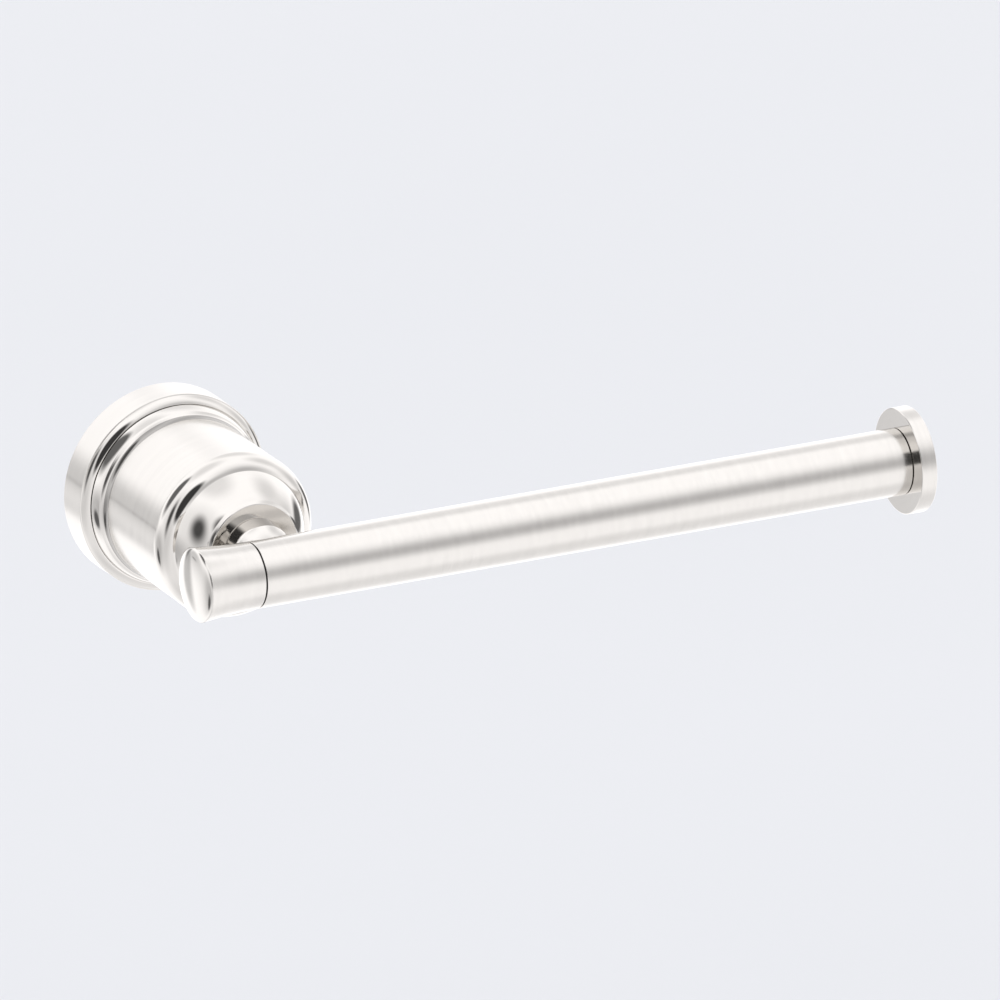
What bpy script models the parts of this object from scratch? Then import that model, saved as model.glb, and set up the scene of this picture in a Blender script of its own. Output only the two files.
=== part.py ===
"""Wall-mounted toilet paper holder: one turned post carries an open-ended arm.

Units are metres. The wall is the plane Y = 0 and the holder stands out along -Y.
+X runs along the arm towards its free end and +Z is up. The origin is the centre
of the wall bracket's back face. Turned profiles are lists of (along, radius):
"along" is the distance from the wall for the post, and world X for the arm.
"""

import math

import bmesh
import bpy

# Driving dimensions
GAP = 0.0003  # left between faces that touch on the real holder
EDGE = 0.0003  # softened corner of a finished piece
REACH = 0.0010  # how far a cutter runs past the face that it opens

BAR_OUT = 0.0664  # arm's centre line to the wall
BAR_RADIUS = 0.0080
BAR_WALL = 0.0011
BAR_LEFT = -0.00755  # tube's end under the knob
BAR_RIGHT = 0.1617  # tube's end under the disc
BAR_BORE = BAR_RADIUS - BAR_WALL

# Flange cover: a cup against the wall, closed by a web in front
RIM_RADIUS = 0.0244
RIM_FRONT = 0.0088
FLANGE_TOP = 0.0100
FLANGE_TOP_RADIUS = 0.0224
SKIRT_BORE = 0.0206
WEB_BACK = 0.0080
WEB_HOLE = 0.0030

# Barrel: a tube that spreads into a coved foot on the flange
BARREL_RADIUS = 0.02035
BARREL_BORE = 0.0179
BARREL_FRONT = 0.0396
FOOT_RADIUS = 0.02235
OVOLO_END = (0.0114, 0.02175)
COVE_END = (0.0156, BARREL_RADIUS)

# Front cap: shoulder, shallow groove, dome and flat face, on a spigot in the barrel
CAP_RADIUS = 0.02045
CAP_SEAT = BARREL_FRONT + GAP
LEDGE = (0.0432, 0.0178)
GROOVE_START = (0.0433, 0.0174)
DOME_START = (0.0445, 0.0166)
DOME_END = (0.0511, 0.0116)
DOME_BULGE = math.radians(15)  # half the dome arc's angle
FACE_OUT = 0.0515
FACE_RADIUS = 0.0114
SPIGOT_BACK = CAP_SEAT - 0.0034
CAVITY_RADIUS = 0.0150
CAVITY_TAPER = 0.0415
CAVITY_FRONT = (0.0470, 0.0100)
NECK_BORE = 0.0053

# Neck: a spigot in the cap's bore, a collar, a shoulder and the thread in the arm
NECK_BACK = 0.0445
COLLAR_RADIUS = 0.0080
COLLAR_FRONT = (0.0559, 0.0075)
NECK_SHOULDER = (0.0580, 0.0050)
NECK_THREAD = 0.0039
NECK_END = 0.0645

# Wall bracket: a shallow cup, screwed to the wall inside the flange
BRACKET_PLATE = 0.0025
BRACKET_HEIGHT = 0.0070
BRACKET_WALL = 0.0023
WALL_SCREW_SPACING = 0.0250
WALL_SCREW_SHANK = 0.0020
WALL_SCREW_HEAD = 0.0039
WALL_SCREW_HEAD_HEIGHT = 0.0024
WALL_SCREW_HEAD_SIDE = 0.0008  # straight part of the head's height
WALL_SCREW_RECESS = (0.0036, 0.0009, 0.0013)  # length, width, depth
SET_SCREW_OUT = 0.0040  # set screw's distance from the wall
SET_SCREW_RADIUS = 0.0019
SET_SCREW_TIP = 0.0011
SET_SCREW_SOCKET = (0.00115, 0.0018)  # radius over the corners, depth

# Tie bolt and its washers: they clamp flange, barrel, cap and neck together
BOLT_RADIUS = 0.0024
BOLT_HEAD_BACK = 0.0031
BOLT_HEAD_HEIGHT = 0.0020
BOLT_HEAD_RADIUS = 0.0042
BOLT_CHAMFER = 0.0006
BOLT_RECESS = (0.0042, 0.0010, 0.0012)  # length, width, depth
BOLT_END = 0.0530
WASHER_THICKNESS = 0.0010
SPRING_WASHER = (BOLT_HEAD_BACK + BOLT_HEAD_HEIGHT + GAP, 0.0046)  # back, outer radius
FLAT_WASHER = (SPRING_WASHER[0] + WASHER_THICKNESS + GAP, 0.0060)
WASHER_SPLIT = 0.0006

# Inside the arm's left end, and the knob on it
BLOCK_RADIUS = BAR_BORE - GAP
BLOCK_LEFT = -0.0140
BLOCK_RIGHT = 0.0080
BLOCK_CHAMFER = 0.0005
LOCK_SCREW_RADIUS = 0.0024
LOCK_SCREW_TIP = 0.0014
LOCK_SCREW_SINK = 0.0015  # below the block's end
LOCK_SCREW_SOCKET = (0.0014, 0.0025)  # radius over the corners, depth
KNOB_RIGHT = -0.00825
KNOB_FLARE = math.radians(-4)  # half the flared side's arc, hollow
KNOB_RIM = (-0.0227, 0.0083)  # centre of the rounded rim
KNOB_RIM_RADIUS = 0.0007
KNOB_CROWN_TURN = 11  # degrees, the crown's slope where it meets the rim
KNOB_WASHER_RADIUS = 0.0076
KNOB_WASHER_CLEARANCE = 0.00015

# Free end: a plug in the tube and the disc that screws into it
DISC_LEFT = 0.1620
DISC_THICKNESS = 0.0040
DISC_RADIUS = 0.0127
PLUG_LEFT = 0.1500
STUD_RADIUS = 0.0029
STUD_LEFT = PLUG_LEFT + 0.0020


def clear_scene():
    for obj in list(bpy.data.objects):
        bpy.data.objects.remove(obj, do_unlink=True)


def material(name, color, roughness, metallic=1.0):
    made = bpy.data.materials.new(name)
    made.use_nodes = True
    shader = made.node_tree.nodes["Principled BSDF"]
    shader.inputs["Base Color"].default_value = (*color, 1.0)
    shader.inputs["Roughness"].default_value = roughness
    shader.inputs["Metallic"].default_value = metallic
    made.diffuse_color = (*color, 1.0)
    return made


def axis_empty(name, location=(0, 0, 0), rotation=(0, 0, 0)):
    """An empty whose local Z is the axis of the pieces parented to it."""
    empty = bpy.data.objects.new(name, None)
    empty.location = location
    empty.rotation_euler = rotation
    empty.empty_display_size = 0.01
    bpy.context.collection.objects.link(empty)
    return empty


def add_object(name, mesh, parent, finish=None):
    obj = bpy.data.objects.new(name, mesh)
    obj.parent = parent
    bpy.context.collection.objects.link(obj)
    if finish is not None:
        mesh.materials.append(finish)
    return obj


def arc(center, radii, start, end, steps):
    """Points of an elliptical arc in the (along, radius) plane, angles in degrees."""
    points = []
    for i in range(steps + 1):
        angle = math.radians(start + (end - start) * i / steps)
        points.append((
            center[0] + radii[0] * math.cos(angle),
            center[1] + radii[1] * math.sin(angle),
        ))
    return points


def bowed(start, end, half_angle, steps):
    """A round arc from start to end; a positive half_angle bows it away from the axis."""
    lean = math.atan2(end[1] - start[1], end[0] - start[0])
    radius = math.dist(start, end) / (2 * math.sin(abs(half_angle)))
    drop = math.copysign(radius * math.cos(half_angle), half_angle * (end[0] - start[0]))
    center = (
        (start[0] + end[0]) / 2 + drop * math.sin(lean),
        (start[1] + end[1]) / 2 - drop * math.cos(lean),
    )
    first = math.atan2(start[1] - center[1], start[0] - center[0])
    last = math.atan2(end[1] - center[1], end[0] - center[0])
    turn = (last - first + math.pi) % (2 * math.pi) - math.pi
    points = []
    for i in range(steps + 1):
        angle = first + turn * i / steps
        points.append((
            center[0] + radius * math.cos(angle),
            center[1] + radius * math.sin(angle),
        ))
    return points


def turned(name, profile, parent, finish=None, sides=48):
    """A solid of revolution about the parent's Z; a point of radius 0 is on the axis."""
    bm = bmesh.new()
    rings = []
    for along, radius in profile:
        ring = []
        for k in range(sides if radius else 1):
            angle = 2 * math.pi * k / sides
            ring.append(bm.verts.new((radius * math.cos(angle), radius * math.sin(angle), along)))
        rings.append(ring)
    for i, here in enumerate(rings):
        there = rings[(i + 1) % len(rings)]
        flat = profile[i][0] == profile[(i + 1) % len(profile)][0]
        if flat and 1 in (len(here), len(there)):
            bm.faces.new(max(here, there, key=len))
            continue
        if len(here) == len(there) == 1:
            continue
        for k in range(sides):
            corners = [here[k % len(here)], here[(k + 1) % len(here)]]
            corners += [there[(k + 1) % len(there)], there[k % len(there)]]
            bm.faces.new(list(dict.fromkeys(corners)))
    bmesh.ops.delete(bm, geom=[v for v in bm.verts if not v.link_faces], context="VERTS")
    bmesh.ops.recalc_face_normals(bm, faces=bm.faces)
    mesh = bpy.data.meshes.new(name)
    bm.to_mesh(mesh)
    bm.free()
    mesh.shade_smooth()
    mesh.set_sharp_from_angle(angle=math.radians(35))
    return add_object(name, mesh, parent, finish)


def rod(name, start, end, radius, parent, finish=None, sides=24):
    return turned(name, [(start, 0), (start, radius), (end, radius), (end, 0)], parent, finish, sides)


def block(name, size, center, parent):
    bm = bmesh.new()
    bmesh.ops.create_cube(bm, size=1)
    bmesh.ops.scale(bm, vec=size, verts=bm.verts)
    bmesh.ops.translate(bm, vec=center, verts=bm.verts)
    mesh = bpy.data.meshes.new(name)
    bm.to_mesh(mesh)
    bm.free()
    return add_object(name, mesh, parent)


def cut(target, *cutters):
    for cutter in cutters:
        cutter.hide_render = True
        cutter.display_type = "WIRE"
        boolean = target.modifiers.new("cut_" + cutter.name, "BOOLEAN")
        boolean.operation = "DIFFERENCE"
        boolean.solver = "EXACT"
        boolean.object = cutter


def cut_cross_recess(target, face, inward, recess, parent, offset=0):
    """A cross-head drive in the face at height `face`; inward is -1 or 1, into the metal."""
    length, width, depth = recess
    start = face - inward * REACH
    end = face + inward * depth
    middle = (offset, 0, (start + end) / 2)
    for index, (x, y) in enumerate([(length, width), (width, length)]):
        cut(target, block(f"{target.name}_recess_{index}", (x, y, abs(end - start)), middle, parent))


def make_bracket(post_axis, steel):
    outer = SKIRT_BORE - GAP
    inner = outer - BRACKET_WALL
    profile = [(0, 0), (0, outer), (BRACKET_HEIGHT - EDGE, outer), (BRACKET_HEIGHT, outer - EDGE)]
    profile += [(BRACKET_HEIGHT, inner), (BRACKET_PLATE, inner), (BRACKET_PLATE, 0)]
    bracket = turned("wall_bracket", profile, post_axis, steel)
    for side, label in ((-1, "left"), (1, "right")):
        offset = side * WALL_SCREW_SPACING / 2
        hole = rod(f"hole_{label}", -REACH, BRACKET_PLATE + REACH, WALL_SCREW_SHANK + GAP, post_axis)
        hole.location.x = offset
        hole.rotation_euler.z = math.radians(5)  # keeps its facets off the bracket's own
        cut(bracket, hole)
        make_wall_screw("wall_screw_" + label, offset, post_axis, steel)


def make_wall_screw(name, offset, post_axis, steel):
    """A pan-head screw, which ends flush with the wall plane."""
    seat = BRACKET_PLATE + GAP
    top = seat + WALL_SCREW_HEAD_HEIGHT
    crown = (WALL_SCREW_HEAD_HEIGHT - WALL_SCREW_HEAD_SIDE, WALL_SCREW_HEAD)
    profile = [(0, 0), (0, WALL_SCREW_SHANK), (seat, WALL_SCREW_SHANK), (seat, WALL_SCREW_HEAD)]
    profile += arc((seat + WALL_SCREW_HEAD_SIDE, 0), crown, 90, 0, 4)[:-1]
    profile.append((top, 0))
    screw = turned(name, profile, post_axis, steel, sides=24)
    screw.location.x = offset
    cut_cross_recess(screw, top, -1, WALL_SCREW_RECESS, post_axis, offset)


def make_flange(post_axis, nickel):
    outside = [(0, RIM_RADIUS - EDGE), (EDGE, RIM_RADIUS), (RIM_FRONT - EDGE, RIM_RADIUS)]
    bead = (FLANGE_TOP - RIM_FRONT + EDGE, RIM_RADIUS - EDGE - FLANGE_TOP_RADIUS)
    outside += arc((RIM_FRONT - EDGE, FLANGE_TOP_RADIUS), bead, 90, 0, 5)
    inside = [(FLANGE_TOP, WEB_HOLE), (WEB_BACK, WEB_HOLE), (WEB_BACK, SKIRT_BORE), (0, SKIRT_BORE)]
    flange = turned("flange_cover", outside + inside, post_axis, nickel)
    hole_axis = axis_empty("set_screw_axis", (0, -SET_SCREW_OUT, 0), (math.pi, 0, 0))
    hole = rod("set_screw_hole", SKIRT_BORE - REACH, RIM_RADIUS + REACH, SET_SCREW_RADIUS + GAP, hole_axis)
    cut(flange, hole)
    return hole_axis


def make_set_screw(hole_axis, black_steel):
    tip = SKIRT_BORE + 0.0001
    taper_end = tip + 0.0006
    end = RIM_RADIUS - EDGE
    radius = SET_SCREW_RADIUS
    profile = [(tip, 0), (tip, SET_SCREW_TIP), (taper_end, radius), (end, radius), (end, 0)]
    screw = turned("set_screw", profile, hole_axis, black_steel, sides=24)
    socket_radius, depth = SET_SCREW_SOCKET
    cut(screw, rod("set_screw_socket", end - depth, end + REACH, socket_radius, hole_axis, sides=6))


def make_barrel(post_axis, nickel):
    back = FLANGE_TOP + GAP
    cove_turn = 2 * math.atan2(OVOLO_END[1] - COVE_END[1], COVE_END[0] - OVOLO_END[0])
    profile = bowed((back, FOOT_RADIUS), OVOLO_END, math.radians(25), 3)
    profile += bowed(OVOLO_END, COVE_END, -cove_turn / 2, 5)[1:]
    profile += [(BARREL_FRONT, BARREL_RADIUS), (BARREL_FRONT, BARREL_BORE), (back, BARREL_BORE)]
    turned("post_barrel", profile, post_axis, nickel)


def make_front_cap(post_axis, nickel):
    shoulder = (LEDGE[0] - CAP_SEAT - EDGE, CAP_RADIUS - LEDGE[1])
    profile = [(CAP_SEAT, CAP_RADIUS - EDGE), (CAP_SEAT + EDGE, CAP_RADIUS)]
    profile += arc((CAP_SEAT + EDGE, LEDGE[1]), shoulder, 90, 8, 6)[1:]
    profile += bowed(GROOVE_START, DOME_START, math.radians(-30), 3)
    profile += bowed(DOME_START, DOME_END, DOME_BULGE, 6)[1:]
    profile += [(FACE_OUT, FACE_RADIUS), (FACE_OUT, NECK_BORE)]
    profile += [(CAVITY_FRONT[0], NECK_BORE), CAVITY_FRONT, (CAVITY_TAPER, CAVITY_RADIUS)]
    spigot = BARREL_BORE - GAP
    profile += [(SPIGOT_BACK, CAVITY_RADIUS), (SPIGOT_BACK, spigot), (CAP_SEAT, spigot)]
    turned("front_cap", profile, post_axis, nickel)


def make_neck(post_axis, nickel):
    base = FACE_OUT + GAP
    tapped = BOLT_RADIUS + GAP
    tap_end = BOLT_END + REACH
    profile = [(NECK_BACK, tapped), (NECK_BACK, NECK_BORE - GAP), (base, NECK_BORE - GAP)]
    profile += [(base, COLLAR_RADIUS - EDGE), (base + EDGE, COLLAR_RADIUS)]
    profile += bowed(COLLAR_FRONT, NECK_SHOULDER, math.radians(12), 3)
    profile += [(NECK_SHOULDER[0], NECK_THREAD), (NECK_END, NECK_THREAD), (NECK_END, 0)]
    profile += [(tap_end, 0), (tap_end, tapped)]
    turned("neck", profile, post_axis, nickel, sides=32)


def make_tie_bolt(post_axis, steel):
    head_front = BOLT_HEAD_BACK + BOLT_HEAD_HEIGHT
    profile = [(BOLT_HEAD_BACK, 0), (BOLT_HEAD_BACK, BOLT_HEAD_RADIUS - BOLT_CHAMFER)]
    profile += [(BOLT_HEAD_BACK + BOLT_CHAMFER, BOLT_HEAD_RADIUS), (head_front, BOLT_HEAD_RADIUS)]
    profile += [(head_front, BOLT_RADIUS), (BOLT_END - BOLT_CHAMFER, BOLT_RADIUS)]
    profile += [(BOLT_END, BOLT_RADIUS - BOLT_CHAMFER), (BOLT_END, 0)]
    bolt = turned("tie_bolt", profile, post_axis, steel, sides=24)
    cut_cross_recess(bolt, BOLT_HEAD_BACK, 1, BOLT_RECESS, post_axis)


def make_washer(name, back, outer, post_axis, steel):
    hole = BOLT_RADIUS + GAP
    front = back + WASHER_THICKNESS
    profile = [(back, hole), (back, outer), (front, outer), (front, hole)]
    return turned(name, profile, post_axis, steel, sides=32)


def make_washers(post_axis, steel):
    make_washer("flat_washer", *FLAT_WASHER, post_axis, steel)
    spring = make_washer("spring_washer", *SPRING_WASHER, post_axis, steel)
    back, outer = SPRING_WASHER
    split = (WASHER_SPLIT, outer, 3 * WASHER_THICKNESS)
    cut(spring, block("washer_split", split, (0, outer, back + WASHER_THICKNESS / 2), post_axis))


def make_tube(bar_axis, post_axis, nickel):
    profile = [(BAR_LEFT, BAR_BORE), (BAR_LEFT, BAR_RADIUS), (BAR_RIGHT, BAR_RADIUS), (BAR_RIGHT, BAR_BORE)]
    tube = turned("bar_tube", profile, bar_axis, nickel)
    near_side = BAR_OUT - BAR_RADIUS - REACH
    cut(tube, rod("neck_hole", near_side, NECK_END, NECK_THREAD + GAP, post_axis))


def make_cross_block(bar_axis, post_axis, brass):
    """Solid brass block in the tube: the neck screws into its side, the knob onto its end."""
    profile = [(BLOCK_LEFT, 0), (BLOCK_LEFT, BLOCK_RADIUS - BLOCK_CHAMFER)]
    profile += [(BLOCK_LEFT + BLOCK_CHAMFER, BLOCK_RADIUS), (BLOCK_RIGHT, BLOCK_RADIUS), (BLOCK_RIGHT, 0)]
    cross_block = turned("cross_block", profile, bar_axis, brass, sides=32)
    near_side = BAR_OUT - BAR_RADIUS - REACH
    cut(
        cross_block,
        rod("neck_thread_hole", near_side, NECK_END + REACH, NECK_THREAD + GAP, post_axis),
        rod("lock_screw_hole", BLOCK_LEFT - REACH, -REACH, LOCK_SCREW_RADIUS + GAP, bar_axis),
    )


def make_lock_screw(bar_axis, black_steel):
    """Grub screw under the knob, which bears on the neck's thread."""
    tip = -NECK_THREAD - 2 * GAP
    end = BLOCK_LEFT + LOCK_SCREW_SINK
    taper = LOCK_SCREW_RADIUS - LOCK_SCREW_TIP
    profile = [(end, 0), (end, LOCK_SCREW_RADIUS), (tip - taper, LOCK_SCREW_RADIUS)]
    profile += [(tip, LOCK_SCREW_TIP), (tip, 0)]
    screw = turned("lock_screw", profile, bar_axis, black_steel, sides=24)
    socket_radius, depth = LOCK_SCREW_SOCKET
    cut(screw, rod("lock_screw_socket", end - REACH, end + depth, socket_radius, bar_axis, sides=6))


def make_knob(bar_axis, nickel):
    """Hollow end knob, flared towards a rounded rim and a shallow crowned end face."""
    bore_end = BLOCK_LEFT - GAP
    flare_end = (KNOB_RIM[0], KNOB_RIM[1] + KNOB_RIM_RADIUS)
    profile = [(KNOB_RIGHT, BAR_BORE)]
    profile += bowed((KNOB_RIGHT, BAR_RADIUS), flare_end, KNOB_FLARE, 4)
    rim = arc(KNOB_RIM, (KNOB_RIM_RADIUS, KNOB_RIM_RADIUS), 90, 180 - KNOB_CROWN_TURN, 4)
    crown_turn = math.radians(KNOB_CROWN_TURN)
    crown_end = (rim[-1][0] - rim[-1][1] * math.tan(crown_turn / 2), 0)
    profile += rim[1:] + bowed(rim[-1], crown_end, crown_turn / 2, 4)[1:-1]
    profile += [crown_end, (bore_end, 0), (bore_end, BAR_BORE)]
    turned("end_knob", profile, bar_axis, nickel)


def make_knob_washer(bar_axis, nylon):
    left = KNOB_RIGHT + KNOB_WASHER_CLEARANCE
    right = BAR_LEFT - KNOB_WASHER_CLEARANCE
    profile = [(left, BAR_BORE), (left, KNOB_WASHER_RADIUS), (right, KNOB_WASHER_RADIUS), (right, BAR_BORE)]
    turned("knob_washer", profile, bar_axis, nylon, sides=32)


def make_free_end(bar_axis, nickel, brass):
    """Plug in the tube's free end, and the disc that screws into it."""
    tapped = STUD_RADIUS + GAP
    end = BAR_RIGHT - GAP
    profile = [(PLUG_LEFT, tapped), (PLUG_LEFT, BLOCK_RADIUS), (end, BLOCK_RADIUS), (end, tapped)]
    turned("end_plug", profile, bar_axis, brass, sides=32)
    right = DISC_LEFT + DISC_THICKNESS
    profile = [(STUD_LEFT, 0), (STUD_LEFT, STUD_RADIUS), (DISC_LEFT, STUD_RADIUS)]
    profile += [(DISC_LEFT, DISC_RADIUS - EDGE), (DISC_LEFT + EDGE, DISC_RADIUS)]
    profile += [(right - EDGE, DISC_RADIUS), (right, DISC_RADIUS - EDGE), (right, 0)]
    turned("end_disc", profile, bar_axis, nickel)


def main():
    clear_scene()
    nickel = material("brushed_nickel", (0.72, 0.69, 0.66), 0.28)
    steel = material("zinc_plated_steel", (0.62, 0.64, 0.66), 0.35)
    black_steel = material("blackened_steel", (0.06, 0.06, 0.065), 0.45)
    brass = material("plain_brass", (0.71, 0.55, 0.27), 0.3)
    nylon = material("black_nylon", (0.02, 0.02, 0.02), 0.5, metallic=0.0)
    post_axis = axis_empty("post_axis", rotation=(math.pi / 2, 0, 0))
    bar_axis = axis_empty("bar_axis", (0, -BAR_OUT, 0), (0, math.pi / 2, 0))
    make_bracket(post_axis, steel)
    set_screw_axis = make_flange(post_axis, nickel)
    make_set_screw(set_screw_axis, black_steel)
    make_barrel(post_axis, nickel)
    make_front_cap(post_axis, nickel)
    make_neck(post_axis, nickel)
    make_tie_bolt(post_axis, steel)
    make_washers(post_axis, steel)
    make_tube(bar_axis, post_axis, nickel)
    make_cross_block(bar_axis, post_axis, brass)
    make_lock_screw(bar_axis, black_steel)
    make_knob(bar_axis, nickel)
    make_knob_washer(bar_axis, nylon)
    make_free_end(bar_axis, nickel, brass)


main()
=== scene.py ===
"""Toilet paper holder: fine turned pieces, brushed and polished nickel, and a plain studio.

Lengths are in millimetres where no comment says otherwise, and become metres where a mesh is made.
The outline of a turned piece is a list of points. "Along" is the distance from the wall for the
post's pieces, world X for the arm's, and the distance below the post's axis for the set screw.
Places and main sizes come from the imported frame.
"""

import collections
import math

import bmesh
import bpy
from mathutils import Matrix, Quaternion, Vector


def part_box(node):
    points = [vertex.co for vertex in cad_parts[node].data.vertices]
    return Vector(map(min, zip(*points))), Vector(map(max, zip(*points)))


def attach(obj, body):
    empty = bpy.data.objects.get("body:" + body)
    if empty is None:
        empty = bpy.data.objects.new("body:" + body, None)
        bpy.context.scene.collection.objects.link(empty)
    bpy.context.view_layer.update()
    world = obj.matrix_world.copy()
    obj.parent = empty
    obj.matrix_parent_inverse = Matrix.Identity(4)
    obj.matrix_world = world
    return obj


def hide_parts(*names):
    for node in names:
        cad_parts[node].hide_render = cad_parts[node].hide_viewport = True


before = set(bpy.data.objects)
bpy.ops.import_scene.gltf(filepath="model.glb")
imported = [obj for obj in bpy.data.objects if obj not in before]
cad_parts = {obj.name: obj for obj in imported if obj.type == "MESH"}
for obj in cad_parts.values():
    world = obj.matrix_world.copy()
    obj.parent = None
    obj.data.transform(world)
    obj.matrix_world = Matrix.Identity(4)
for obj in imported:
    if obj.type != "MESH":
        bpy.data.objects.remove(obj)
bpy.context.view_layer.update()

MM = 0.001
BRUSHED, POLISHED, PAINTED_SHADE = 0, 1, 2  # the finishes of a brushed nickel piece; the third is darker nickel, painted shade in a cove
Point = collections.namedtuple("Point", "along radius fillet finish", defaults=(0.0, BRUSHED))
Thread = collections.namedtuple("Thread", "start end pitch depth")


def span(node, axis):
    """A CAD node's lowest and highest coordinate along world X, Y or Z (0, 1 or 2)."""
    low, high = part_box(node)
    return low[axis] / MM, high[axis] / MM


def out_span(node):
    """How far from the wall a CAD node begins and ends."""
    low, high = span(node, 1)
    return -high, -low


def radius_of(node):
    """Half a CAD node's height, the radius of a piece turned about X or Y."""
    low, high = span(node, 2)
    return (high - low) / 2


# Main places and sizes, from the frame
BAR_OUT = sum(out_span("bar_tube")) / 2
BAR_RADIUS = radius_of("bar_tube")
BAR_LEFT, BAR_RIGHT = span("bar_tube", 0)
KNOB_LEFT, KNOB_RIGHT = span("end_knob", 0)
RIM_RADIUS = radius_of("flange_cover")
FLANGE_TOP = out_span("flange_cover")[1]
FOOT_RADIUS = radius_of("post_barrel")
CAP_RADIUS = radius_of("front_cap")
FACE_OUT = out_span("front_cap")[1]
COLLAR_RADIUS = radius_of("neck")
DISC_RADIUS = radius_of("end_disc")
DISC_RIGHT = span("end_disc", 0)[1]

# Details of the turned outlines; a pair is (along, radius)
SEAM = 0.04  # visible gap between finished pieces that touch
SKIRT_BORE = 20.6
RIM_FRONT = 8.55
FLANGE_BEAD_TOP = 22.4
BARREL_RADIUS = 20.35
COVE_START = (12.75, 21.4)
COVE_END = (15.3, BARREL_RADIUS)
CAP_SEAT = 39.1
CAP_BEAD_MIDDLE = (39.35, 16.0)
CAP_BEAD_PEAK = 44.1
DOME_END = (51.1, 11.6)
FACE_RADIUS = 11.4
COLLAR_FRONT = (55.9, 7.5)
SHOULDER_END = (58.3, 5.0)
STEM_RADIUS = 5.0
BOLT_RADIUS = 2.4
BOLT_CLEARANCE = 2.7  # the radius of what the tie bolt goes through
TUBE_BORE = 6.9
BLOCK_RADIUS = 6.6  # the brass pieces inside the tube
DISC_THICKNESS = 4.0
SET_SCREW_OUT = 4  # its distance from the wall
SHARP_ANGLE = 28  # degrees; a turned edge with a larger turn is shaded as a crease

POST_AXIS = Matrix.Rotation(math.radians(90), 4, "X")
ARM_AXIS = Matrix.Translation((0, -BAR_OUT * MM, 0)) @ Matrix.Rotation(math.radians(90), 4, "Y")
SET_SCREW_AXIS = (
    Matrix.Translation((0, -SET_SCREW_OUT * MM, 0)) @ Matrix.Rotation(math.radians(180), 4, "X")
)


# ---------------------------------------------------------------- turned outlines


def bow(start, end, half_angle, finish=BRUSHED, steps=16):
    """A round arc from start to end, hollow towards the axis when half_angle is negative."""
    lean = math.atan2(end[1] - start[1], end[0] - start[0])
    radius = math.dist(start, end) / (2 * math.sin(abs(half_angle)))
    drop = math.copysign(radius * math.cos(half_angle), half_angle * (end[0] - start[0]))
    center = (
        (start[0] + end[0]) / 2 + drop * math.sin(lean),
        (start[1] + end[1]) / 2 - drop * math.cos(lean),
    )
    first = math.atan2(start[1] - center[1], start[0] - center[0])
    last = math.atan2(end[1] - center[1], end[0] - center[0])
    turn = (last - first + math.pi) % (2 * math.pi) - math.pi
    return [
        Point(
            center[0] + radius * math.cos(first + turn * i / steps),
            center[1] + radius * math.sin(first + turn * i / steps),
            0.0,
            finish,
        )
        for i in range(steps + 1)
    ]


def ellipse(center, radii, start, end, finish=BRUSHED, steps=24):
    """An elliptical arc, its angles in degrees."""
    points = []
    for i in range(steps + 1):
        angle = math.radians(start + (end - start) * i / steps)
        along = center[0] + radii[0] * math.cos(angle)
        points.append(Point(along, center[1] + radii[1] * math.sin(angle), 0.0, finish))
    return points


def ring(start, end, bore, radius, bore_fillet, fillet):
    """A plain ring or tube."""
    return [
        Point(start, bore, bore_fillet),
        Point(start, radius, fillet),
        Point(end, radius, fillet),
        Point(end, bore, bore_fillet),
    ]


def threaded(thread, radius, steps_per_pitch=8):
    """The points that a thread needs from its start to its end."""
    length = thread.end - thread.start
    count = round(length / thread.pitch * steps_per_pitch)
    return [Point(thread.start + length * i / count, radius) for i in range(count + 1)]


def rounded(outline, steps=6):
    """Replaces each corner that has a fillet with a polished arc of that radius."""
    points = []
    for i, here in enumerate(outline):
        if not here.fillet:
            points.append(here)
            continue
        corner = Vector(here[:2])
        before = (Vector(outline[i - 1][:2]) - corner).normalized()
        after = (Vector(outline[(i + 1) % len(outline)][:2]) - corner).normalized()
        half = before.angle(after) / 2
        center = corner + (before + after).normalized() * here.fillet / math.sin(half)
        start = corner + before * here.fillet / math.tan(half) - center
        turn = start.angle_signed(corner + after * here.fillet / math.tan(half) - center)
        for k in range(steps + 1):
            spoke = Matrix.Rotation(-turn * k / steps, 2) @ start
            finish = here.finish if k == steps else POLISHED
            points.append(Point(*(center + spoke), 0.0, finish))
    return points


# ---------------------------------------------------------------- meshes and cutters


def lathe(name, outline, axis, sides=160, thread=None):
    """A closed solid, the outline turned about the local Z of `axis`."""
    points = rounded(outline)
    bm = bmesh.new()
    rings = []
    for point in points:
        verts = []
        for k in range(sides if point.radius else 1):
            angle = 2 * math.pi * k / sides
            radius = point.radius - cut_depth(point.along, angle, thread)
            verts.append(bm.verts.new((
                radius * math.cos(angle) * MM,
                radius * math.sin(angle) * MM,
                point.along * MM,
            )))
        rings.append(verts)
    for i, here in enumerate(rings):
        there = rings[(i + 1) % len(rings)]
        if len(here) == len(there) == 1:
            continue
        for k in range(sides):
            corners = [here[k % len(here)], here[(k + 1) % len(here)]]
            corners += [there[(k + 1) % len(there)], there[k % len(there)]]
            face = bm.faces.new(list(dict.fromkeys(corners)))
            face.material_index = points[i].finish
            face.smooth = True
    bmesh.ops.recalc_face_normals(bm, faces=bm.faces)
    return place(name, bm, axis)


def place(name, bm, matrix):
    """Makes an object of a bmesh, which it frees."""
    mesh = bpy.data.meshes.new(name)
    bm.to_mesh(mesh)
    bm.free()
    obj = bpy.data.objects.new(name, mesh)
    obj.matrix_world = matrix
    bpy.context.collection.objects.link(obj)
    return obj


def cut_depth(along, angle, thread):
    """How deep a vee thread cuts at this place, fading out over one pitch at both ends."""
    if thread is None:
        return 0.0
    start, end, pitch, depth = thread
    fade = max(0.0, min(1.0, (along - start) / pitch, (end - along) / pitch))
    phase = (along / pitch - angle / (2 * math.pi)) % 1
    return depth * fade * (1 - abs(2 * phase - 1))


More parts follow.
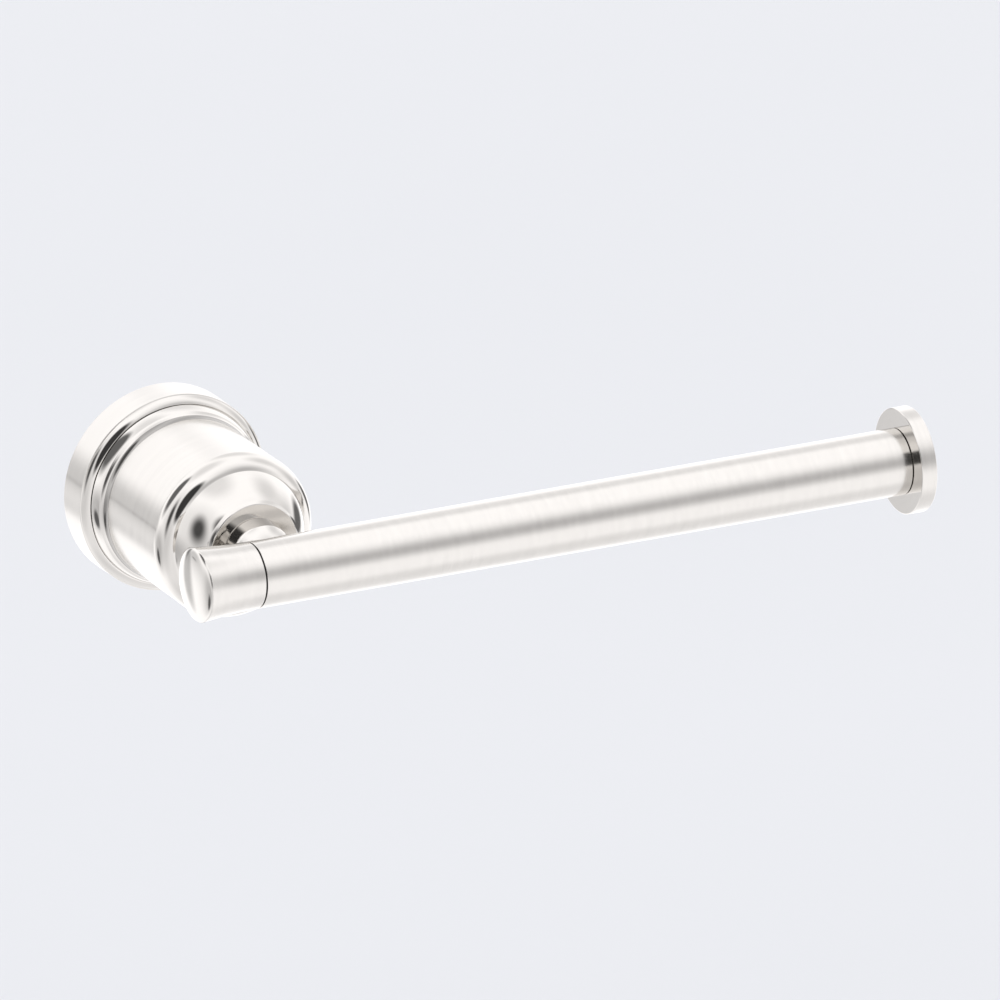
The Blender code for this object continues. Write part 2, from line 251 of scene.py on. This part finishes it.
def cutter(outline, axis, sides=64):
    """A turned cutter, whose outline is given without its two ends on the axis."""
    ends = [Point(point[0], 0) for point in (outline[0], outline[-1])]
    return lathe("cutter", [ends[0], *[Point(*point) for point in outline], ends[1]], axis, sides)


def hole(start, end, radius, axis):
    """A cutter that widens slightly at its far end, to leave a softened mouth."""
    softening, reach = 0.3, 2
    wide = radius + softening
    mouth = [(end, radius), (end + softening, wide), (end + reach, wide)]
    return cutter([(start, radius), *mouth], axis)


def hex_socket(start, bottom, radius, axis):
    """A cutter for a six-sided socket that ends in a shallow cone; radius is over the corners."""
    deep = bottom + math.copysign(radius / 3, bottom - start)
    outline = [Point(start, 0), Point(start, radius), Point(bottom, radius), Point(deep, 0)]
    return lathe("cutter", outline, axis, 6)


def block(size, matrix, taper=1.0):
    """A box cutter, narrower at its lower local Z end when taper is below 1."""
    bm = bmesh.new()
    bmesh.ops.create_cube(bm, size=MM)
    for vert in bm.verts:
        narrow = taper if vert.co.z < 0 else 1.0
        scale = (size[0] * narrow, size[1] * narrow, size[2])
        vert.co = Vector(a * b for a, b in zip(vert.co, scale))
    return place("cutter", bm, matrix)


def cross_recess(length, width, depth, face):
    """Cutters for a cross drive that sinks along local -Z from the matrix `face`."""
    above, taper = 0.5, 0.55  # how far the cutters stand out of the face, and how they narrow
    middle = face @ Matrix.Translation((0, 0, (above - depth) / 2 * MM))
    return [
        block((*sides, depth + above), middle, taper)
        for sides in ((length, width), (width, length))
    ]


def carve(obj, cutters):
    """Cuts the cutters out of obj for good, and removes them."""
    for tool in cutters:
        cut = obj.modifiers.new("cut", "BOOLEAN")
        cut.solver, cut.object = "EXACT", tool
    graph = bpy.context.evaluated_depsgraph_get()
    carved = bpy.data.meshes.new_from_object(obj.evaluated_get(graph), depsgraph=graph)
    obj.modifiers.clear()
    obj.data = carved
    for tool in cutters:
        bpy.data.objects.remove(tool)


# ---------------------------------------------------------------- materials

# Places of the colour sockets on a Mix node
MIX_FACTOR, MIX_FIRST, MIX_SECOND, MIX_RESULT = 0, 6, 7, 2


def fill(tree, node, inputs):
    """Fills a node's inputs, by order or by name, with links or constant values."""
    pairs = inputs.items() if isinstance(inputs, dict) else enumerate(inputs)
    for key, value in pairs:
        if isinstance(value, bpy.types.NodeSocket):
            tree.links.new(value, node.inputs[key])
        else:
            node.inputs[key].default_value = value


def add_node(tree, kind, inputs=(), output=0, **settings):
    """Adds a shader node and returns one of its outputs."""
    made = tree.nodes.new("ShaderNode" + kind)
    for key, value in settings.items():
        setattr(made, key, value)
    fill(tree, made, inputs)
    return made.outputs[output]


def compute(tree, operation, *values):
    return add_node(tree, "Math", values, operation=operation)


def remap(tree, value, from_low, from_high, to_low, to_high, curve="LINEAR"):
    inputs = {
        "Value": value,
        "From Min": from_low,
        "From Max": from_high,
        "To Min": to_low,
        "To Max": to_high,
    }
    return add_node(tree, "MapRange", inputs, interpolation_type=curve)


def noise(tree, vector, scale, detail, rough):
    inputs = {"Vector": vector, "Scale": scale, "Detail": detail, "Roughness": rough}
    return add_node(tree, "TexNoise", inputs)


def bump(tree, height, strength, distance):
    """A bump's normal; its distance is in metres."""
    return add_node(tree, "Bump", {"Strength": strength, "Distance": distance, "Height": height})


def color_ramp(tree, value, low, high, start=0.0, end=1.0):
    """A colour that goes from low to high as the value goes from start to end."""
    ramp = tree.nodes.new("ShaderNodeValToRGB")
    for stop, position, color in zip(ramp.color_ramp.elements, (start, end), (low, high)):
        stop.position, stop.color = position, (*color, 1.0)
    tree.links.new(value, ramp.inputs[0])
    return ramp.outputs[0]


def toned(color, factor):
    return [channel * factor for channel in color]


def new_material(name):
    """A node material, with its tree and its shader."""
    made = bpy.data.materials.new(name)
    made.use_nodes = True
    return made, made.node_tree, made.node_tree.nodes["Principled BSDF"]


def grain_coordinates(tree, around, across, lean):
    """Coordinates that vary slowly around local Z and fast along a turned outline."""
    here = add_node(tree, "TexCoord", output="Object")
    flat = add_node(tree, "VectorMath", [here, (1, 1, 0)], operation="MULTIPLY")
    radius = add_node(tree, "VectorMath", [flat], output="Value", operation="LENGTH")
    spoke = add_node(tree, "VectorMath", [flat], operation="NORMALIZE")
    slow = add_node(tree, "VectorMath", {0: spoke, "Scale": around}, operation="SCALE")
    height = add_node(tree, "SeparateXYZ", [here], output="Z")
    travel = compute(tree, "ADD", height, compute(tree, "MULTIPLY", radius, lean))
    fast = add_node(tree, "CombineXYZ", [0.0, 0.0, compute(tree, "MULTIPLY", travel, across)])
    return add_node(tree, "VectorMath", [slow, fast], operation="ADD")


def turned_metal(name, color, roughness, anisotropic, scratch, across=4200.0):
    """Metal worked round its local Z axis: hairlines run round it and spread gloss along it."""
    around, lean, band_width = 2.0, -1.3, 9
    made, tree, shader = new_material(name)
    fine = grain_coordinates(tree, around, across, lean)
    broad = grain_coordinates(tree, around / 2, across / band_width, lean)
    hairs = noise(tree, fine, 1.0, 3.0, 0.65)
    bands = noise(tree, broad, 1.0, 2.0, 0.5)
    halves = [compute(tree, "MULTIPLY", grain, 0.5) for grain in (hairs, bands)]
    tone = compute(tree, "ADD", *halves)
    dark, light = toned(color, 1 - 0.16 * scratch), toned(color, 1 + 0.10 * scratch)
    fill(tree, shader, {
        "Base Color": color_ramp(tree, tone, dark, light, 0.3, 0.7),
        "Metallic": 1.0,
        "Roughness": remap(tree, bands, 0.3, 0.7, roughness * 0.88, roughness * 1.12),
        "Anisotropic": anisotropic,
        "Anisotropic Rotation": 0.25,
        "Tangent": add_node(tree, "Tangent", direction_type="RADIAL", axis="Z"),
        "Normal": bump(tree, hairs, 0.10 * scratch, 0.00003),
    })
    return made


def plain_metal(name, color, roughness, stain, stain_amount):
    """Small hardware: cloudy colour, uneven gloss and a fine dimpled surface."""
    cloud_scale, dimple_scale = 350.0, 4900.0
    made, tree, shader = new_material(name)
    here = add_node(tree, "TexCoord", output="Object")
    cloud = noise(tree, here, cloud_scale, 4.0, 0.6)
    dimples = noise(tree, here, dimple_scale, 2.0, 0.5)
    stained = {
        MIX_FACTOR: remap(tree, cloud, 0.38, 0.68, 0.0, stain_amount),
        MIX_FIRST: (*color, 1.0),
        MIX_SECOND: (*stain, 1.0),
    }
    fill(tree, shader, {
        "Base Color": add_node(tree, "Mix", stained, output=MIX_RESULT, data_type="RGBA"),
        "Metallic": 1.0,
        "Roughness": remap(tree, dimples, 0.3, 0.7, roughness * 0.8, roughness * 1.25),
        "Normal": bump(tree, dimples, 0.15, 0.00004),
    })
    return made


def nylon_material(name):
    """Black moulded plastic with a fine uneven surface."""
    grain_scale = 9000.0
    made, tree, shader = new_material(name)
    here = add_node(tree, "TexCoord", output="Object")
    grain = noise(tree, here, grain_scale, 2.0, 0.6)
    fill(tree, shader, {
        "Base Color": color_ramp(tree, grain, (0.012, 0.012, 0.013), (0.035, 0.035, 0.037)),
        "Roughness": remap(tree, grain, 0.3, 0.7, 0.42, 0.58),
        "Normal": bump(tree, grain, 0.2, 0.00003),
    })
    return made


NICKEL = (0.665, 0.645, 0.617)
# Half-bright nickel: painted shade for the inner half of the barrel's cove, where facing metal
# would darken the reflections
SHADE_PAINTED_NICKEL = toned(NICKEL, 0.52)
BRASS = (0.78, 0.60, 0.30)
ZINC, ZINC_STAIN = (0.66, 0.68, 0.71), (0.62, 0.60, 0.50)
BLACK_OXIDE, OXIDE_WEAR = (0.075, 0.075, 0.08), (0.16, 0.15, 0.14)

# The materials of each slot; a nickel piece's are in the order of its finishes
MATERIALS = {
    "brushed_nickel": [
        turned_metal("nickel_satin", NICKEL, roughness=0.17, anisotropic=0.55, scratch=0.30),
        turned_metal("nickel_polished", NICKEL, roughness=0.075, anisotropic=0.2, scratch=0.12),
        # The third nickel material is not a real finish but painted shade, used in the barrel's
        # cove
        turned_metal(
            "nickel_painted_shade", SHADE_PAINTED_NICKEL, roughness=0.12, anisotropic=0.2, scratch=0.12
        ),
    ],
    "zinc_steel": [
        plain_metal("zinc_plated_steel", ZINC, 0.32, ZINC_STAIN, stain_amount=0.3),
    ],
    "blackened_steel": [
        plain_metal("black_oxide_steel", BLACK_OXIDE, 0.42, OXIDE_WEAR, stain_amount=0.6),
    ],
    "plain_brass": [
        turned_metal(
            "turned_brass", BRASS, roughness=0.24, anisotropic=0.5, scratch=0.9, across=2600.0
        ),
    ],
    "black_nylon": [nylon_material("nylon")],
}


# ---------------------------------------------------------------- studio

# Darker places around the white studio, seen only in the metal's gloss:
# azimuth and elevation of the middle, half widths of the dark core and of its soft edge in
# degrees, depth, and how much flatter (above 1) or taller (below 1) than round it is
SHADES = {
    "flag_front_left": (-117, 22, 16, 25, 0.96, 1.0),
    "flag_left": (-160, 16, 4, 17, 0.92, 0.55),
    "flag_back_left": (158, -20, 8, 34, 0.50, 1.2),
    "flag_back_high": (149, 40, 12, 23, 0.88, 0.55),
    "flag_back_low": (156, -28, 5, 11, 0.80, 1.0),
    "left_side": (-160, 5, 20, 50, 0.22, 0.8),
    "front_gap": (-62, 15, 1, 30, 0.36, 1.0),
    "front_gap_wide": (-66, 22, 2, 44, 0.28, 1.0),
    "front_line": (-90, 13, 1, 22, 0.45, 1.0),
    "front_low": (-60, -30, 20, 75, 0.07, 1.0),
    "back_left_gap": (124, -3, 3, 22, 0.43, 1.2),
    "back_left_line": (124, -8, 1.2, 5, 0.45, 4.0),
    "back_strip": (113, -16, 3, 8, 0.48, 0.45),
    "back_strip_dark": (109, -2, 2, 6, 0.70, 0.4),
    "flag_right": (19, -8, 7, 16, 0.88, 1.2),
    "right_high": (-5, 38, 4, 26, 0.30, 1.0),
    "right_gap": (-8, 8, 3, 30, 0.40, 1.4),
    "back_gap": (90, 6, 3, 24, 0.45, 1.0),
    "back_right_gap": (56, -14, 2, 16, 0.18, 1.2),
    "back_top_gap": (57, 42, 6, 24, 0.25, 1.2),
    "overhead": (150, 78, 8, 30, 0.25, 1.0),
    "floor_near": (-30, -85, 20, 48, 0.23, 1.0),
    "left_low": (-140, -32, 20, 60, 0.22, 1.0),
}
STUDIO_WHITE = (1.52, 1.51, 1.53)
BACKDROP = (0.80, 0.815, 0.845)

# The floor, in metres
FLOOR_HEIGHT = -0.2
FLOOR_REACH = 6.0
FLOOR_DARK, FLOOR_LIGHT = (0.677, 0.692, 0.716), (0.706, 0.719, 0.743)

# The parallel view: angles in degrees, the azimuth from straight in front; lengths in metres
VIEW_AZIMUTH, VIEW_ELEVATION, VIEW_ROLL = -26.62, 20.71, 0.05
VIEW_WIDTH = 0.2353
VIEW_RIGHT, VIEW_UP, VIEW_BACK = 0.08085, -0.00459, 1.0
VIEW_END = 20


def heading(azimuth, elevation, flatter=1.0):
    """The direction of an azimuth from world X and an elevation, both in degrees."""
    azimuth, elevation = math.radians(azimuth), math.radians(elevation)
    level = math.cos(elevation)
    return Vector((
        level * math.cos(azimuth),
        level * math.sin(azimuth),
        math.sin(elevation) * flatter,
    )).normalized()


def make_world():
    """White all round, with soft darker places for the metal to show; plain to the camera."""
    world = bpy.data.worlds.new("studio")
    world.use_nodes = True
    bpy.context.scene.world = world
    tree = world.node_tree
    tree.nodes.clear()
    direction = add_node(tree, "TexCoord")
    light = 1.0
    for azimuth, elevation, core, edge, depth, flatter in SHADES.values():
        shaped = add_node(tree, "VectorMath", [direction, (1, 1, flatter)], operation="MULTIPLY")
        unit = add_node(tree, "VectorMath", [shaped], operation="NORMALIZE")
        middle = heading(azimuth, elevation, flatter)
        near = add_node(
            tree, "VectorMath", [unit, middle], output="Value", operation="DOT_PRODUCT"
        )
        angle = compute(tree, "ARCCOSINE", near)
        core, edge = math.radians(core), math.radians(edge)
        kept = remap(tree, angle, core, edge, 1 - depth, 1.0, "SMOOTHSTEP")
        light = compute(tree, "MULTIPLY", light, kept)
    white = add_node(tree, "CombineXYZ", STUDIO_WHITE)
    studio = add_node(tree, "VectorMath", {0: white, "Scale": light}, operation="SCALE")
    glow = add_node(tree, "Background", [studio, 1.0])
    plain = add_node(tree, "Background", [(*BACKDROP, 1.0), 1.0])
    is_camera = add_node(tree, "LightPath")
    surface = add_node(tree, "MixShader", [is_camera, glow, plain])
    output = tree.nodes.new("ShaderNodeOutputWorld")
    tree.links.new(surface, output.inputs["Surface"])


def make_floor():
    """A wide pale floor, which the metal doesn't reflect."""
    bm = bmesh.new()
    bmesh.ops.create_grid(bm, x_segments=1, y_segments=1, size=FLOOR_REACH)
    floor = place("floor", bm, Matrix.Translation((0, 0, FLOOR_HEIGHT)))
    floor.visible_glossy = False
    paint, tree, shader = new_material("pale_floor")
    here = add_node(tree, "TexCoord", output="Object")
    cloud = noise(tree, here, 3.0, 3.0, 0.5)
    color = color_ramp(tree, cloud, FLOOR_DARK, FLOOR_LIGHT)
    fill(tree, shader, {"Base Color": color, "Roughness": 0.9})
    floor.data.materials.append(paint)


def make_camera():
    """The parallel view, from the left and above."""
    data = bpy.data.cameras.new("camera")
    data.type = "ORTHO"
    data.ortho_scale = VIEW_WIDTH
    data.clip_end = VIEW_END
    camera = bpy.data.objects.new("camera", data)
    bpy.context.collection.objects.link(camera)
    back = heading(VIEW_AZIMUTH - 90, VIEW_ELEVATION)
    roll = Quaternion((0, 0, 1), math.radians(VIEW_ROLL))
    camera.rotation_mode = "QUATERNION"
    camera.rotation_quaternion = (-back).to_track_quat("-Z", "Y") @ roll
    camera.location = camera.rotation_quaternion @ Vector((VIEW_RIGHT, VIEW_UP, VIEW_BACK))
    bpy.context.scene.camera = camera


# ---------------------------------------------------------------- pieces


def turn(node, body, slot, outline, axis, sides=160, thread=None, cutters=()):
    """Stands in for a CAD node: turned, cut, given its finish, and carried by its body."""
    obj = lathe(node + "_turned", outline, axis, sides, thread)
    for material in MATERIALS[slot]:
        obj.data.materials.append(material)
    if cutters:
        carve(obj, cutters)
    obj.data.set_sharp_from_angle(angle=math.radians(SHARP_ANGLE))
    even = obj.modifiers.new("even_normals", "WEIGHTED_NORMAL")
    even.keep_sharp = True
    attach(obj, body)
    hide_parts(node)


def make_bracket():
    """The shallow dish on the wall, with its two holes."""
    radius, bore, depth, web = 20.3, 18, 7, 2.5
    outline = [Point(0, 0), Point(0, radius, 0.4), Point(depth, radius, 0.35)]
    outline += [Point(depth, bore, 0.3), Point(web, bore, 0.6), Point(web, 0)]
    offset, hole_radius = 12.5, 2.3
    axes = [POST_AXIS @ Matrix.Translation((x * MM, 0, 0)) for x in (-offset, offset)]
    holes = [hole(-1, 2.3, hole_radius, axis) for axis in axes]
    turn("wall_bracket", "wall_side", "zinc_steel", outline, POST_AXIS, 128, cutters=holes)
    make_wall_screw("wall_screw_left", axes[0])
    make_wall_screw("wall_screw_right", axes[1])


def make_wall_screw(node, axis):
    """A pan-head screw with a cross recess, cut off flush with the wall."""
    thread = Thread(start=0.3, end=2.5, pitch=0.8, depth=0.3)
    shank, head, head_back, head_edge, dome = 2.0, 3.9, 2.8, 3.6, 1.6
    outline = [Point(0, 0), Point(0, shank - 0.1, 0.2), *threaded(thread, shank)]
    outline += [Point(head_back, shank), Point(head_back, head, 0.15)]
    outline += ellipse((head_edge, 0), (dome, head), 90, 6, steps=12)
    outline += [Point(head_edge + dome, 0)]
    face = axis @ Matrix.Translation((0, 0, 5.1 * MM))
    recess = cross_recess(3.6, 0.95, 1.3, face)
    turn(node, "wall_side", "zinc_steel", outline, axis, 64, thread, recess)


def make_flange():
    """Brushed rim, polished bead, and the web inside that the tie bolt pulls on."""
    web_back, bolt_hole = 8, 3
    bead_start = (RIM_FRONT + 0.05, RIM_RADIUS - 0.3)
    bead_end = (FLANGE_TOP, FLANGE_BEAD_TOP)
    outline = [Point(0, SKIRT_BORE, 0.2), Point(0, RIM_RADIUS, 0.25)]
    outline += [Point(RIM_FRONT, RIM_RADIUS, 0.15)]
    outline += bow(bead_start, bead_end, math.radians(18), POLISHED)
    outline += [Point(FLANGE_TOP, bolt_hole, 0.1), Point(web_back, bolt_hole, 0.1)]
    outline += [Point(web_back, SKIRT_BORE, 0.3)]
    screw_hole = hole(SKIRT_BORE - 1, RIM_RADIUS - 0.25, 2.2, SET_SCREW_AXIS)
    turn("flange_cover", "post", "brushed_nickel", outline, POST_AXIS, cutters=[screw_hole])


def make_set_screw():
    """A cone-pointed grub screw with a hexagon socket."""
    thread = Thread(start=21.4, end=23.8, pitch=0.7, depth=0.25)
    radius, point, bottom = 1.9, 20.7, 24.1
    outline = [Point(point + 0.4, 0), Point(point, 1.0, 0.05), Point(point + 0.6, radius)]
    outline += [*threaded(thread, radius), Point(bottom, 1.75), Point(bottom, 0)]
    socket = hex_socket(bottom + 1, 22.4, 1.15, SET_SCREW_AXIS)
    turn("set_screw", "set_screw", "blackened_steel", outline, SET_SCREW_AXIS, 48, thread, [socket])


def make_barrel():
    """Moulded foot with a bead and a cove, and the hollow brushed barrel; the cove's inner half
    gets darker nickel as painted shade.
    """
    back, front, bore = FLANGE_TOP + SEAM, CAP_SEAT - SEAM, 17.9
    bead_start = (back + 0.2, FOOT_RADIUS - 0.1)
    outline = [Point(back, FOOT_RADIUS - 0.5, 0.0, POLISHED)]
    outline += [Point(bead_start[0], FOOT_RADIUS - 0.45, 0.0, POLISHED)]
    outline += bow(bead_start, COVE_START, math.radians(8), POLISHED)[:-1]
    cove_lean = math.atan2(COVE_START[1] - COVE_END[1], COVE_END[0] - COVE_START[0])
    cove = bow(COVE_START, COVE_END, -cove_lean, POLISHED)
    shade_step = 6  # the step of the cove where its painted shade begins
    outline += cove[:shade_step]
    outline += [point._replace(finish=PAINTED_SHADE) for point in cove[shade_step:-1]]
    outline += [Point(*COVE_END), Point(front, BARREL_RADIUS, 0.03)]
    outline += [Point(front, bore), Point(back, bore)]
    turn("post_barrel", "post", "brushed_nickel", outline, POST_AXIS)


def make_cap():
    """Polished bead and dome up to the flat face; hollow behind, with a spigot in the barrel."""
    hole_radius, face_back = 5.3, 47
    spigot, spigot_bore, spigot_back, hollow_end = 17.6, 15, 36.5, (41.5, 15)
    bead = (CAP_BEAD_PEAK - CAP_BEAD_MIDDLE[0], CAP_RADIUS - CAP_BEAD_MIDDLE[1])
    outline = [Point(CAP_SEAT, spigot), Point(CAP_SEAT, CAP_RADIUS, 0.2, POLISHED)]
    outline += ellipse(CAP_BEAD_MIDDLE, bead, 90, 14, POLISHED, 32)
    outline += bow(outline[-1][:2], DOME_END, math.radians(12), POLISHED, 24)[1:-1]
    outline += [Point(FACE_OUT, FACE_RADIUS, 0.45, POLISHED), Point(FACE_OUT, hole_radius)]
    outline += [Point(face_back, hole_radius), Point(face_back, 10), Point(*hollow_end)]
    outline += [Point(spigot_back, spigot_bore), Point(spigot_back, spigot)]
    turn("front_cap", "post", "brushed_nickel", outline, POST_AXIS)


def make_bolt():
    """The long bolt from behind the flange's web into the neck, and its two washers."""
    thread = Thread(start=38, end=52.2, pitch=0.8, depth=0.35)
    head, head_back, head_front, tip = 4.2, 3.1, 5.1, 53
    outline = [Point(head_back, 0), Point(head_back, head, 0.6), Point(head_front, head, 0.15)]
    outline += [Point(head_front, BOLT_RADIUS), Point(thread.start - 1, BOLT_RADIUS)]
    outline += [*threaded(thread, BOLT_RADIUS), Point(tip, 1.9), Point(tip, 0)]
    face = Matrix.Translation((0, 0, head_back * MM)) @ Matrix.Rotation(math.pi, 4, "X")
    recess = cross_recess(4.2, 1.05, 1.2, POST_AXIS @ face)
    turn("tie_bolt", "post", "zinc_steel", outline, POST_AXIS, 48, thread, recess)

    outline = ring(6.7, 7.7, BOLT_CLEARANCE, 6, 0.1, 0.2)
    turn("flat_washer", "post", "zinc_steel", outline, POST_AXIS, 96)

    outline = ring(5.4, 6.4, BOLT_CLEARANCE, 4.6, 0.12, 0.12)
    slit = Matrix.Translation((0, 4 * MM, 5.9 * MM)) @ Matrix.Rotation(math.radians(28), 4, "Y")
    slit = block((0.5, 4, 3), POST_AXIS @ slit)
    turn("spring_washer", "post", "zinc_steel", outline, POST_AXIS, 96, cutters=[slit])


def make_neck():
    """Stem through the cap, polished collar, rounded shoulder, and the end that meets the bar."""
    stem_back, stem_end, bolt_end = 44.5, 60.5, 54
    face = FACE_OUT + SEAM
    outline = [Point(stem_back, BOLT_CLEARANCE), Point(stem_back, STEM_RADIUS)]
    outline += [Point(face, STEM_RADIUS), Point(face, COLLAR_RADIUS, 0.25, POLISHED)]
    outline += [Point(*COLLAR_FRONT, 0.08, POLISHED)]
    outline += bow(COLLAR_FRONT, SHOULDER_END, math.radians(12), POLISHED)[1:]
    outline += [Point(stem_end, STEM_RADIUS), Point(stem_end, 0)]
    outline += [Point(bolt_end, 0), Point(bolt_end, BOLT_CLEARANCE)]
    reach, clearance = 20, BAR_RADIUS + 0.03
    bar = cutter([(-reach, clearance), (reach, clearance)], ARM_AXIS, 160)
    turn("neck", "arm", "brushed_nickel", outline, POST_AXIS, cutters=[bar])


def make_arm():
    """The bar's tube, and the block and grub screw in its left end."""
    outline = ring(BAR_LEFT - 0.3, BAR_RIGHT + 0.15, TUBE_BORE, BAR_RADIUS, 0.1, 0.12)
    turn("bar_tube", "arm", "brushed_nickel", outline, ARM_AXIS)

    thread = Thread(start=-13.5, end=-8.2, pitch=1.0, depth=0.4)
    left, right = -14, 8
    outline = [Point(left, 0), Point(left, 6.4, 0.3), *threaded(thread, BLOCK_RADIUS)]
    outline += [Point(right, BLOCK_RADIUS, 0.4), Point(right, 0)]
    neck_hole = cutter([(57, 4.2), (66, 4.2)], POST_AXIS)
    mouth, bore = 3.1, 2.7
    screw_hole = [(-15, mouth), (-14.2, mouth), (-13.8, bore), (-1, bore)]
    holes = [neck_hole, cutter(screw_hole, ARM_AXIS)]
    turn("cross_block", "arm", "plain_brass", outline, ARM_AXIS, 96, thread, holes)

    thread = Thread(start=-12.2, end=-5.8, pitch=0.8, depth=0.3)
    left, radius, point = -12.5, 2.4, -4.5
    outline = [Point(left, 0), Point(left, 2.2), *threaded(thread, radius)]
    outline += [Point(point - 1, radius), Point(point, 1.4, 0.1), Point(point, 0)]
    socket = hex_socket(left - 1, -10, 1.4, ARM_AXIS)
    turn("lock_screw", "arm", "blackened_steel", outline, ARM_AXIS, 48, thread, [socket])


def make_knob():
    """The flared knob with its crowned, polished end, and the thin washer at its seam."""
    outline = ring(KNOB_RIGHT + 0.05, BAR_LEFT - 0.35, TUBE_BORE, 7.6, 0.0, 0.08)
    turn("knob_washer", "knob_washer", "black_nylon", outline, ARM_AXIS)

    socket_end, flare_end, crown_base, flare_radius = -14.3, -22.7, -22.6, 9.0
    flare_start = (KNOB_RIGHT - 0.15, BAR_RADIUS + 0.005)
    outline = [Point(socket_end, TUBE_BORE), Point(KNOB_RIGHT, TUBE_BORE, 0.1)]
    outline += [Point(KNOB_RIGHT, BAR_RADIUS, 0.12)]
    outline += bow(flare_start, (flare_end, flare_radius), math.radians(-4))
    crown = (KNOB_LEFT - crown_base, flare_radius)
    outline += ellipse((crown_base, 0), crown, 90, 2, POLISHED, 48)[1:]
    outline += [Point(KNOB_LEFT, 0, 0.0, POLISHED), Point(socket_end, 0)]
    turn("end_knob", "knob", "brushed_nickel", outline, ARM_AXIS)


def make_free_end():
    """The plug in the tube's free end, and the stop disc with its stud."""
    left, right, bore = 150, 161.4, 3.2
    outline = [Point(left, bore, 0.3), Point(left, BLOCK_RADIUS, 0.5)]
    outline += [Point(right, BLOCK_RADIUS, 0.3), Point(right, bore, 0.2)]
    turn("end_plug", "arm", "plain_brass", outline, ARM_AXIS, 96)

    stud_end, stud, disc_left = 152, 2.9, DISC_RIGHT - DISC_THICKNESS
    outline = [Point(stud_end, 0), Point(stud_end, stud, 0.2)]
    outline += [Point(disc_left, stud, 0.0, POLISHED), Point(disc_left, DISC_RADIUS, 0.25)]
    outline += [Point(DISC_RIGHT, DISC_RADIUS, 0.25, POLISHED), Point(DISC_RIGHT, 0)]
    turn("end_disc", "arm", "brushed_nickel", outline, ARM_AXIS)


def main():
    bpy.context.scene.view_settings.view_transform = "Standard"
    make_world()
    make_floor()
    make_camera()
    make_bracket()
    make_flange()
    make_set_screw()
    make_barrel()
    make_cap()
    make_bolt()
    make_neck()
    make_arm()
    make_knob()
    make_free_end()


main()
